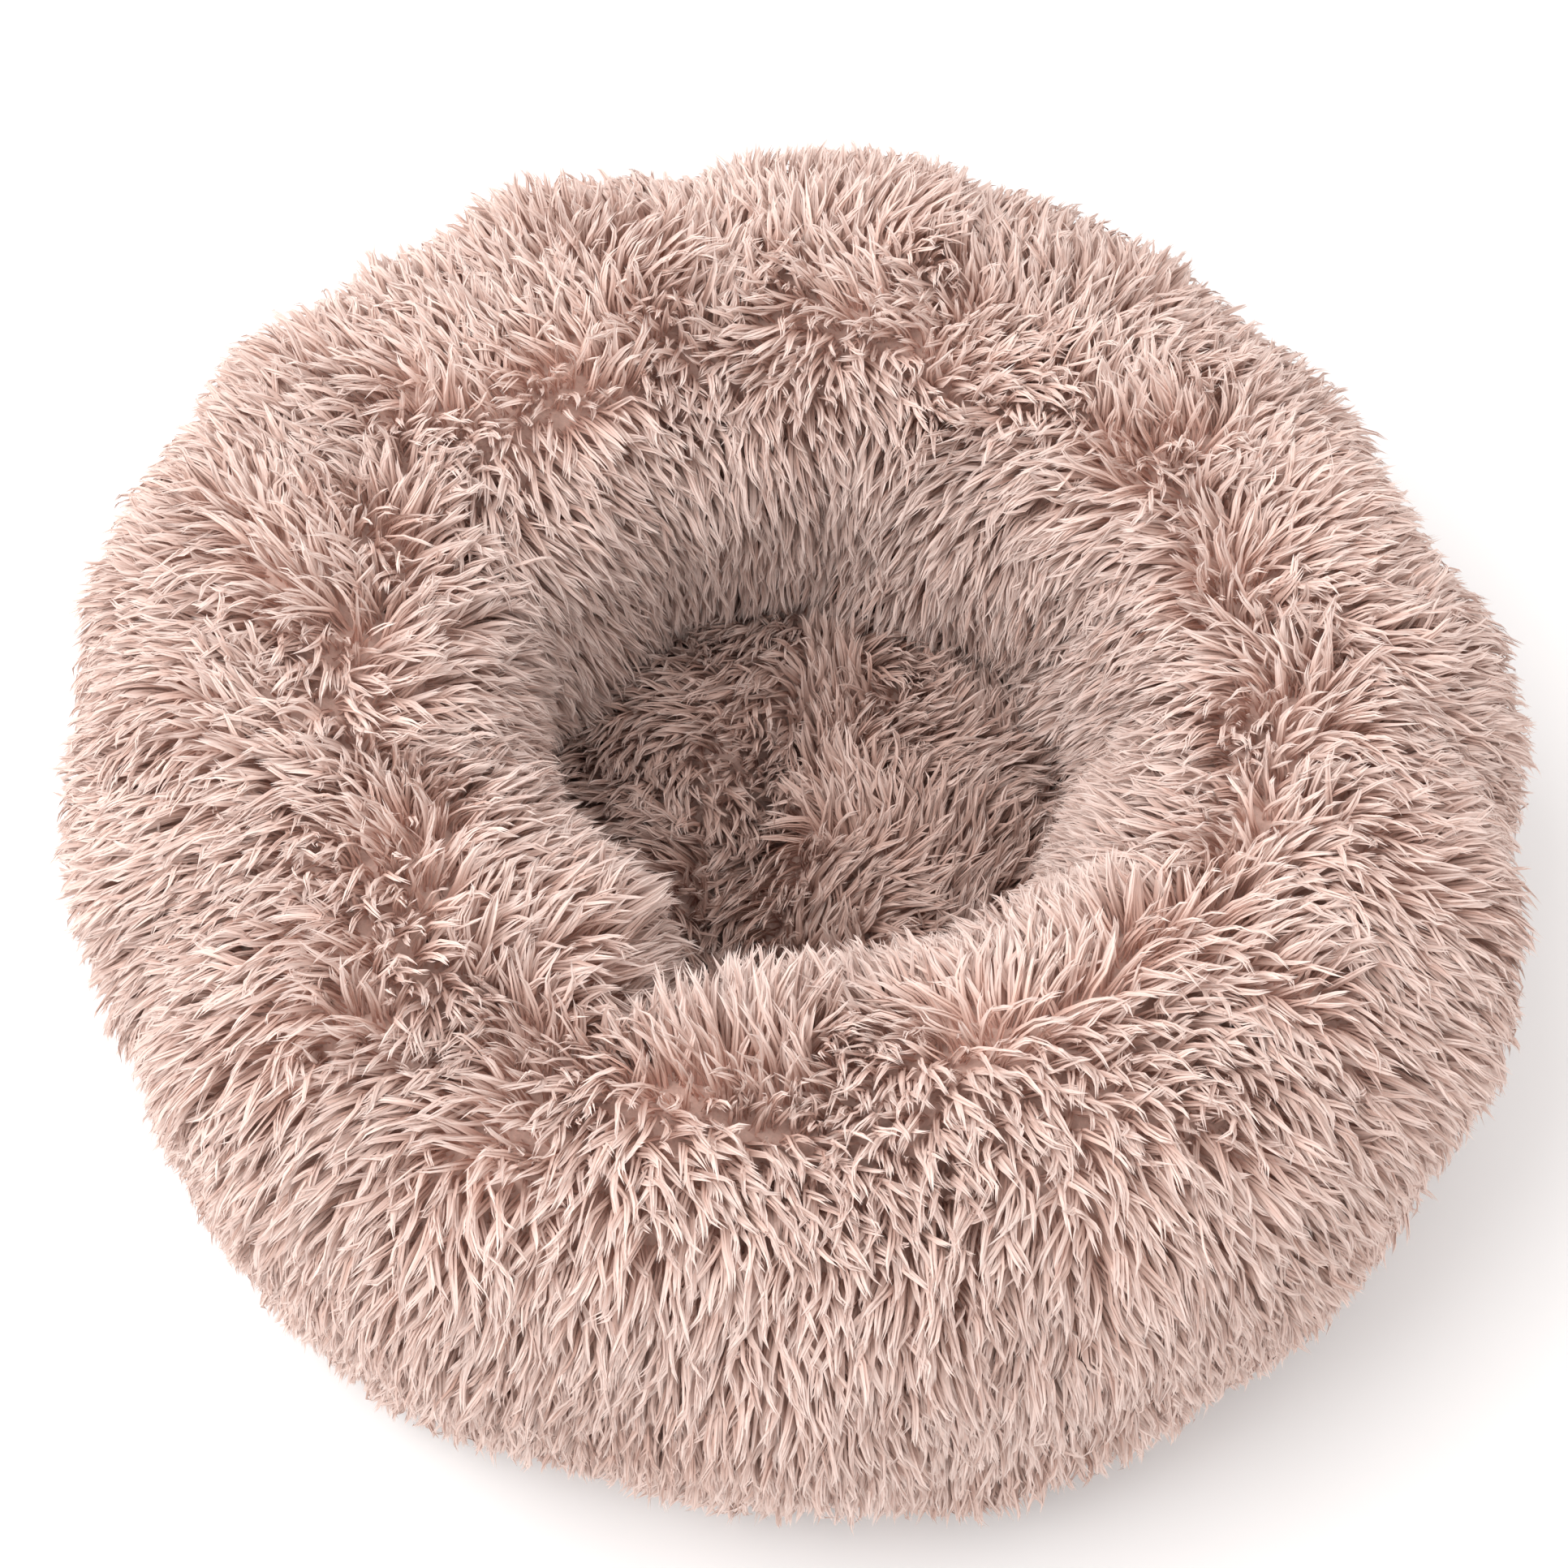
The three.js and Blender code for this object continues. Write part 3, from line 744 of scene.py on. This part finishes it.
nickel = satin_metal("satin_nickel", (0.46, 0.44, 0.42), roughness=0.36)
clamp_ease = 0.0004


def eased_copy(node, name, body, ease):
    """A copy of a cast or pressed metal node with its sharp edges rounded."""
    form = bmesh.new()
    form.from_mesh(bpy.data.objects[node].data)
    bmesh.ops.remove_doubles(form, verts=form.verts, dist=2e-6)
    bmesh.ops.dissolve_limit(form, angle_limit=0.02, verts=form.verts, edges=form.edges)
    sharp = [edge for edge in form.edges if edge.is_manifold and edge.calc_face_angle(0) > 0.6]
    bmesh.ops.bevel(
        form, geom=sharp, offset=ease, affect="EDGES", segments=2, profile=0.5, material=-1,
        clamp_overlap=True,
    )
    bmesh.ops.triangulate(form, faces=form.faces)
    made = finished_piece(form, name, body, nickel)
    made.data.shade_flat()
    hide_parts(node)
    return made


eased_copy("zip_top_stop_front", "zip_end_clamp_front", "bed", clamp_ease)
eased_copy("zip_top_stop_rear", "zip_end_clamp_rear", "bed", clamp_ease)
eased_copy("zip_bottom_stop", "zip_start_clamp", "bed", clamp_ease)

# ---- Slider and pull ----
# A die-cast zinc slider of two wings joined by a post, which runs along both coils, and a
# pressed pull that hangs in the bridge under it. Both are tumbled and plated.
casting_ease, pull_ease = 0.00018, 0.00028
eased_copy("zip_slider", "slider_casting", "slider", casting_ease)
eased_copy("zip_pull", "pull_tab", "pull", pull_ease)

# ---- Care label ----
# A blank strip of woven satin, sewn by one end to the rear hem with a row of stitches.
# Its free end hangs a little below the base and ripples.
label_low, label_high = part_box("care_label")
label_width, label_length = label_high.x - label_low.x, label_high.y - label_low.y
label_hang, label_ripple = 0.0024, 0.0003
label_form = bmesh.new()
bmesh.ops.create_grid(label_form, x_segments=12, y_segments=24, size=0.5)
bmesh.ops.scale(label_form, vec=(label_width, label_length, 1), verts=label_form.verts)
label_middle = (label_low + label_high) / 2
for corner in label_form.verts:
    out = 0.5 + corner.co.y / label_length
    corner.co.x += label_middle.x
    corner.co.y += label_middle.y
    ripple = label_ripple * out * (1 + math.sin(corner.co.x * 260 + 4 * out))
    corner.co.z = label_high.z - 0.0001 - label_hang * out ** 2 - ripple
satin = woven_cloth(
    "label_satin", (0.84, 0.82, 0.78), roughness=0.38,
    across=0, along=0.0005, contrast=0.06, relief=0.00004,
)
label = finished_piece(label_form, "satin_label", "bed", satin)
label_cloth = label.modifiers.new("cloth", "SOLIDIFY")
label_cloth.thickness = 0.0003
label_cloth.offset = -1
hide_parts("care_label")
label_sewn = bmesh.new()
for x in np.arange(label_low.x + 0.002, label_high.x - 0.001, stitch_pitch):
    stitch(label_sewn, (x, label_low.y + 0.0011, label_high.z - 0.0005), 0)
label_rows = finished_piece(label_sewn, "label_stitches", "bed", sewing_thread)
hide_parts("care_label")

# ---- Long pile ----
# Crimped polyester locks, knitted into the backing cloth. Each lock is a few flat strands
# that start apart and meet at the tip, and neighbouring locks lean together in tufts.
# The yarn is dyed before it is knitted. Its strands are darker and redder at the root and paler
# at the tip: partly the yarn's own colour, partly painted shade deep in the pile.
lock_gap = 0.00355
strands_per_lock = 6
strand_width = 0.00095
strand_steps = np.array([0, 0.3, 0.57, 0.81, 1.0])
strand_taper = np.array([0.8, 1.0, 1.0, 0.8])
lock_radius = 0.0022
tuft_gap = 0.011
tuft_pull = 0.42
# Locks that stand above the crest are pressed down, by handling, to this share of their height.
pile_crest = ring_top + 0.008
crest_press = 0.4
# The map on each strand holds its own tone across and its height from root to tip.
fur_material = bpy.data.materials.new("dusty_pink_pile")
fur_material.use_nodes = True
nodes, links = fur_material.node_tree.nodes, fur_material.node_tree.links
fur_shader = nodes["Principled BSDF"]
fur_shader.inputs["Roughness"].default_value = 0.62
fur_shader.inputs["Specular IOR Level"].default_value = 0.18
fur_shader.inputs["Sheen Weight"].default_value = 0.12
fur_shader.inputs["Sheen Roughness"].default_value = 0.4
fur_shader.inputs["Sheen Tint"].default_value = (1.0, 0.9, 0.86, 1)
strand_map = nodes.new("ShaderNodeUVMap")
strand_map.uv_map = "OFBake"
split = nodes.new("ShaderNodeSeparateXYZ")
links.new(strand_map.outputs["UV"], split.inputs["Vector"])


def ramp(stops):
    """A run of colours between the given places, in the dye's own nodes."""
    node = nodes.new("ShaderNodeValToRGB")
    while len(node.color_ramp.elements) < len(stops):
        node.color_ramp.elements.new(0.5)
    for element, (place, colour) in zip(node.color_ramp.elements, stops):
        element.position = place
        element.color = (*colour, 1)
    return node


# Darker, redder roots: partly the yarn's own colour, partly painted shade between the locks.
root_to_tip = ramp([
    (0.0, (0.75, 0.485, 0.405)),
    (0.35, (0.78, 0.55, 0.47)),
    (0.75, (0.80, 0.62, 0.555)),
    (1.0, (0.83, 0.685, 0.63)),
])
links.new(split.outputs["Y"], root_to_tip.inputs["Fac"])
# The tone sets each strand's brightness. Its darkest end is painted shade, used in the well, and its
# lightest end, above 1, is painted light, used at the crest; between them the tone differs at random.
tone_and_painted_light = ramp([
    (0.0, (0.70, 0.60, 0.56)),
    (0.30, (0.89, 0.85, 0.83)),
    (0.5, (0.96, 0.96, 0.96)),
    (1.0, (1.13, 1.15, 1.15)),
])
links.new(split.outputs["X"], tone_and_painted_light.inputs["Fac"])
# The dyed colour times the tone's brightness, which holds the painted shade and painted light.
dye_and_painted_light = nodes.new("ShaderNodeMix")
dye_and_painted_light.data_type = "RGBA"
dye_and_painted_light.blend_type = "MULTIPLY"
dye_and_painted_light.inputs["Factor"].default_value = 1
links.new(root_to_tip.outputs["Color"], dye_and_painted_light.inputs["A"])
links.new(tone_and_painted_light.outputs["Color"], dye_and_painted_light.inputs["B"])
links.new(dye_and_painted_light.outputs["Result"], fur_shader.inputs["Base Color"])


def unit(vectors):
    """The same directions, each of length 1."""
    return vectors / np.maximum(np.linalg.norm(vectors, axis=-1, keepdims=True), 1e-9)


def lean_in_tufts(guides, roots, rng):
    """Draws the tips of neighbouring locks together, tuft by tuft."""
    count = max(1, int(len(roots) * (lock_gap / tuft_gap) ** 2))
    seeds = rng.choice(len(roots), count, replace=False)
    tree = KDTree(count)
    for i, seed in enumerate(seeds):
        tree.insert(roots[seed], i)
    tree.balance()
    tuft = np.array([tree.find(root)[1] for root in roots])
    size = np.bincount(tuft, minlength=count)[:, None]
    middle = np.zeros((count, 3))
    np.add.at(middle, tuft, guides[:, -1])
    middle /= np.maximum(size, 1)
    towards = middle[tuft] - guides[:, -1]
    return guides + towards[:, None, :] * (tuft_pull * strand_steps ** 1.6)[None, :, None]


def lock_guides(roots, normals, lie, length, rise, fall, droop, stray, rng):
    """The line of each lock, from upright at the root to lying along lie at the tip."""
    ahead = unit(lie - normals * (lie * normals).sum(1, keepdims=True))
    side = np.cross(ahead, normals)
    spin = (rng.normal(0, 1, len(roots)) * stray)[:, None]
    ahead = unit(ahead * np.cos(spin) + side * np.sin(spin))
    side = np.cross(ahead, normals)
    places = [roots]
    for before, after in zip(strand_steps, strand_steps[1:]):
        middle = (before + after) / 2
        angle = rise + (fall - rise) * middle ** 0.75
        way = normals * np.cos(angle)[:, None] + ahead * np.sin(angle)[:, None]
        way = unit(way + np.array([0, 0, -droop * middle]))
        places.append(places[-1] + way * (length * (after - before))[:, None])
    guides = np.stack(places, 1)
    swing = rng.uniform(0.001, 0.0070, len(roots))[:, None]
    turns = rng.uniform(0.35, 0.85, len(roots))[:, None]
    shift = rng.uniform(0, 2 * np.pi, len(roots))[:, None]
    wave = np.sin(2 * np.pi * turns * strand_steps + shift) - np.sin(shift)
    crimp = np.sin(2.4 * np.pi * strand_steps + shift)
    lift = rng.normal(0, 0.0016, len(roots))[:, None] * crimp * strand_steps
    sway = side[:, None] * (swing * wave * strand_steps)[..., None] + normals[:, None] * lift[..., None]
    return guides + sway, side


# A strand is three four-sided lengths and a pointed tip, on nine corners in pairs up its sides.
strand_corners = 9
strand_loops = np.array([0, 1, 3, 2, 2, 3, 5, 4, 4, 5, 7, 6, 6, 7, 8])
strand_faces = np.array([0, 4, 8, 12])


def pile(name, roots, normals, lie, length, rise, fall, droop, stray, lowest, tone, seed):
    """One cut panel of long pile, as a mesh of flat tapering strands."""
    rng = np.random.default_rng(seed)
    guides, side = lock_guides(roots, normals, lie, length, rise, fall, droop, stray, rng)
    guides = lean_in_tufts(guides, roots, rng)
    lock = np.repeat(np.arange(len(roots)), strands_per_lock)
    count = len(lock)
    reach = rng.uniform(0.8, 1.0, count)
    places = guides[lock].copy()
    for k in range(len(strand_steps) - 1, 0, -1):
        before, after = strand_steps[k - 1], strand_steps[k]
        share = (after * reach - before) / (after - before)
        places[:, k] = places[:, k - 1] + (places[:, k] - places[:, k - 1]) * share[:, None]
    spread_angle = rng.uniform(0, 2 * np.pi, count)
    spread = lock_radius * np.sqrt(rng.uniform(0, 1, count))
    flat_side = side[lock]
    flat_ahead = np.cross(normals[lock], flat_side)
    offset = flat_side * np.cos(spread_angle)[:, None] + flat_ahead * np.sin(spread_angle)[:, None]
    offset = offset * spread[:, None]
    stay = 1 - 0.62 * strand_steps ** 0.8
    frizz = unit(rng.normal(size=(count, 3))) * rng.uniform(0.0002, 0.0009, count)[:, None]
    curl = np.sin(np.pi * (strand_steps * rng.uniform(0.8, 1.6, count)[:, None]))
    places = places + offset[:, None] * stay[None, :, None] + frizz[:, None] * curl[..., None]
    rest = (lowest[lock] + rng.uniform(0, 0.002, count))[:, None]
    places[..., 2] = np.where(places[..., 2] < lowest[lock][:, None], rest, places[..., 2])
    above = places[..., 2] - pile_crest
    places[..., 2] = np.where(above > 0, pile_crest + crest_press * above, places[..., 2])
    along = unit(places[:, 1:] - places[:, :-1])
    roll = rng.normal(0, 0.6, count)[:, None, None]
    across = unit(np.cross(along, normals[lock][:, None]) + 1e-6)
    over = np.cross(across, along)
    across = across * np.cos(roll) + over * np.sin(roll)
    half = strand_width / 2 * strand_taper[None, :, None] * rng.uniform(0.75, 1.15, count)[:, None, None]
    corners = np.empty((count, strand_corners, 3))
    corners[:, 0:8:2] = places[:, :-1] - across * half
    corners[:, 1:8:2] = places[:, :-1] + across * half
    corners[:, 8] = places[:, -1]
    mesh = bpy.data.meshes.new(name)
    mesh.vertices.add(count * strand_corners)
    mesh.vertices.foreach_set("co", corners.ravel())
    nth = np.arange(count)[:, None]
    mesh.loops.add(count * len(strand_loops))
    mesh.loops.foreach_set("vertex_index", (strand_loops + strand_corners * nth).ravel())
    mesh.polygons.add(count * len(strand_faces))
    mesh.polygons.foreach_set("loop_start", (strand_faces + len(strand_loops) * nth).ravel())
    mesh.polygons.foreach_set("use_smooth", np.ones(count * len(strand_faces), bool))
    strand_tone = np.clip(tone[lock] + rng.normal(0, 0.13, count), 0.02, 0.98)
    uv = np.empty((count, len(strand_loops), 2))
    uv[..., 0] = strand_tone[:, None]
    heights = np.repeat(strand_steps, 2)[:strand_corners]
    uv[..., 1] = 0.02 + 0.96 * heights[strand_loops]
    layer = mesh.uv_layers.new(name="OFBake")
    layer.data.foreach_set("uv", uv.ravel())
    mesh.update(calc_edges=True)
    mesh.materials.append(fur_material)
    piece = bpy.data.objects.new(name, mesh)
    bpy.context.scene.collection.objects.link(piece)
    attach(piece, "bed")
    return piece


# ---- Pile of the ring ----
# The tube's pile, in nine cut panels round the ring. It falls outwards and inwards from a
# parting near the crest, where locks swirl and fluff up, and runs up to the well's seam.
# The roots stand in even rows round the section, each moved a little at random.
last_turn = 193
fine_steps = 600
fine_turns = np.linspace(outer_foot_turn + 2, last_turn, fine_steps)
fine_places = ring_point(np.zeros(fine_steps), fine_turns, pile_lie)
run = np.concatenate([[0], np.cumsum(np.linalg.norm(np.diff(fine_places, axis=0), axis=1))])
row_count = int(run[-1] / lock_gap)
row_turns = np.interp((np.arange(row_count) + 0.5) * run[-1] / row_count, run, fine_turns)
ring_rng = np.random.default_rng(5)
root_azimuths, root_turns = [], []
for row_turn in row_turns:
    radius = ring_point(np.array(0.0), np.array(row_turn), pile_lie)[0]
    count = int(2 * math.pi * radius / lock_gap)
    root_azimuths.append((np.arange(count) + ring_rng.uniform(0, 1, count)) * 360 / count)
    root_turns.append(row_turn + ring_rng.uniform(-0.5, 0.5, count) * (row_turns[1] - row_turns[0]))
root_azimuths = np.concatenate(root_azimuths)
root_turns = np.concatenate(root_turns)


def settled(piece, wanted):
    """The nearest places on a padded piece, and the way out of its cloth there."""
    cloth = BVHTree.FromObject(piece, bpy.context.evaluated_depsgraph_get())
    found = [cloth.find_nearest(Vector(p)) for p in wanted]
    return np.array([f[0] for f in found]), np.array([f[1] for f in found])


ring_roots, ring_normals = settled(ring_backing, lumpy_ring(root_azimuths, root_turns))
even = ring_point(root_azimuths, root_turns, 0)
flip = (ring_normals * (even - ring_roots)).sum(1) < 0
ring_normals[flip] *= -1

turn_above = ring_point(root_azimuths, root_turns + 1, pile_lie)
turn_below = ring_point(root_azimuths, root_turns - 1, pile_lie)
up_section = unit(turn_above - turn_below)
parting_turn = 110
parting = parting_turn + 9 * hills(ring_roots, wave_set(24, 0.09))
outer_side = np.tanh((parting - root_turns) / 30)
swirl = wave_set(21, 0.06)
sweep = wave_set(22, 0.13)
crest_share = np.exp(-((root_turns - 105) / 45) ** 2)


def unit_slopes(points, waves, wavelength):
    """The slope of an uneven surface at each point, about 1 at most places."""
    steps, shifts = waves
    slopes = -np.sin(points @ steps.T + shifts) @ steps * math.sqrt(2 / len(shifts))
    return slopes * wavelength / (2 * np.pi)


def tousled(points, normals, waves, wavelength, spreading):
    """A smooth random lie: mostly curling round, partly running down from small crowns."""
    slopes = unit_slopes(points, waves, wavelength)
    return np.cross(normals, slopes) * (1 - spreading) + slopes * spreading


# One crown, where the locks spread from a point as they do on a head.
crown_azimuth, crown_turn, crown_reach, crown_pull = 292.5, 110.5, 0.034, 1.6
pit_pull = 0.2
lie = -up_section * outer_side[:, None]
lie = lie + (0.30 + 0.55 * crest_share)[:, None] * tousled(ring_roots, ring_normals, swirl, 0.06, 0.25)
lie = lie + 0.35 * tousled(ring_roots, ring_normals, sweep, 0.13, 0.5)
crown = lumpy_ring(np.array([crown_azimuth]), np.array([crown_turn]))
away = ring_roots - crown
gap = np.linalg.norm(away, axis=1, keepdims=True)
lie = lie + crown_pull * away / np.maximum(gap, 0.020) * np.exp(-(gap / crown_reach) ** 2)
for pit_azimuth, pit_turn, depth, reach in pits:
    away = ring_roots - lumpy_ring(np.array([pit_azimuth]), np.array([pit_turn]))
    gap = np.linalg.norm(away, axis=1, keepdims=True)
    lie = lie + pit_pull * away / np.maximum(gap, reach) * np.exp(-(gap / reach) ** 2)
tone_waves = wave_set(31, 0.09)
# Locks near the crest get a higher tone, as painted light on the top of the ring; the rest of the tone
# differs at random.
ring_tone_and_painted_light = 0.42 + 0.32 * crest_share + 0.07 * hills(ring_roots, tone_waves)
ring_tone_and_painted_light = ring_tone_and_painted_light + ring_rng.normal(0, 0.10, len(ring_roots))
ring_pile_length = 0.034
uneven = 1 + 0.08 * hills(ring_roots, wave_set(33, 0.05))
ring_length = ring_pile_length * uneven * ring_rng.uniform(0.85, 1.1, len(ring_roots))
lean = np.clip(np.linalg.norm(lie, axis=1), 0.15, 1.0)
# Some of the locks are short underfur that stands up and fills between the others.
underfur_length = 0.7
underfur = ring_rng.uniform(size=len(ring_roots)) < 0.22 + 0.16 * crest_share
ring_length[underfur] *= underfur_length
lie[underfur] = 0.5 * lie[underfur] + 0.5 * ring_rng.normal(size=(underfur.sum(), 3))
inner_wall = np.clip((root_turns - 125) / 30, 0, 1)
ring_rise = np.radians(4 + 15 * lean - 8 * inner_wall + ring_rng.normal(0, 8, len(ring_roots)))
ring_fall = np.radians(26 + 56 * lean - 22 * inner_wall + ring_rng.normal(0, 12, len(ring_roots)))
ring_fall[underfur] *= 0.5
ring_droop = 0.45
ring_stray = 0.20 + 0.36 * crest_share
# No lock hangs below the floor outside, or deep into the well's own pile inside.
ring_lowest = np.where(root_turns > 120, well_level - 0.008, 0.0006)
panels = 9
for panel in range(panels):
    cut = (root_azimuths // (360 / panels)).astype(int) == panel
    piece = pile(
        f"ring_fur_panel_{panel + 1}", ring_roots[cut], ring_normals[cut], lie[cut], ring_length[cut],
        ring_rise[cut], ring_fall[cut], ring_droop, ring_stray[cut], ring_lowest[cut],
        ring_tone_and_painted_light[cut], seed=100 + panel,
    )
    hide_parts("bolster_fur_cover")

# ---- Pile of the well ----
# The round panel's pile, which is as long as the ring's but lies flatter where a pet sleeps on
# it. It has a low tone as painted shade in the well, lowest in the deep front corner. Its locks
# part along the middle.
well_pile_length = 0.033
well_droop, well_stray = 0.3, 0.30
well_rng = np.random.default_rng(6)
grid = np.arange(-well_high.x, well_high.x, lock_gap)
wx, wy = np.meshgrid(grid, grid)
wx = wx.ravel() + well_rng.uniform(-0.5, 0.5, wx.size) * lock_gap
wy = wy.ravel() + well_rng.uniform(-0.5, 0.5, wy.size) * lock_gap
inside = np.hypot(wx, wy) < ring_inner + 0.004
wx, wy = wx[inside], wy[inside]
well_roots, well_normals = settled(well_backing, np.stack([wx, wy, well_height(wx, wy)], 1))
well_normals[well_normals[:, 2] < 0] *= -1
downhill = well_normals * np.array([1, 1, 0])
well_lie = -0.5 * downhill + 0.6 * tousled(well_roots, well_normals, swirl, 0.06, 0.15)
to_side = 0.35 * np.tanh((wx - 0.01) / 0.02)
to_back = 0.35 - 0.8 * (wx < 0)
well_lie = well_lie + np.stack([to_side, to_back, np.zeros(len(wx))], 1)
well_lean = np.clip(np.linalg.norm(well_lie, axis=1), 0.3, 1.2)
well_length = well_pile_length * well_rng.uniform(0.8, 1.1, len(well_roots))
well_underfur = well_rng.uniform(size=len(well_roots)) < 0.25
well_length[well_underfur] *= underfur_length
well_lie[well_underfur] *= 0.4
well_lie[well_underfur] += 0.5 * well_rng.normal(size=(well_underfur.sum(), 3))
# The well's strands get a low tone as painted shade, lowest near the deep front corner, with a little
# tone that differs at random.
corner_gap = np.hypot(wx - corner_place.x, wy - corner_place.y) / 0.05
well_tone_and_painted_shade = 0.15 - 0.12 * np.exp(-corner_gap ** 2) + well_rng.normal(0, 0.05, len(well_roots))
well_fall = np.radians(48 + 28 * well_lean + well_rng.normal(0, 10, len(wx)))
piece = pile(
    "well_fur", well_roots, well_normals, well_lie, well_length,
    np.radians(12 + 20 * well_lean), well_fall, well_droop, np.full(len(wx), well_stray),
    np.full(len(wx), well_level - 0.03), well_tone_and_painted_shade, seed=300,
)
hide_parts("well_fur_panel")
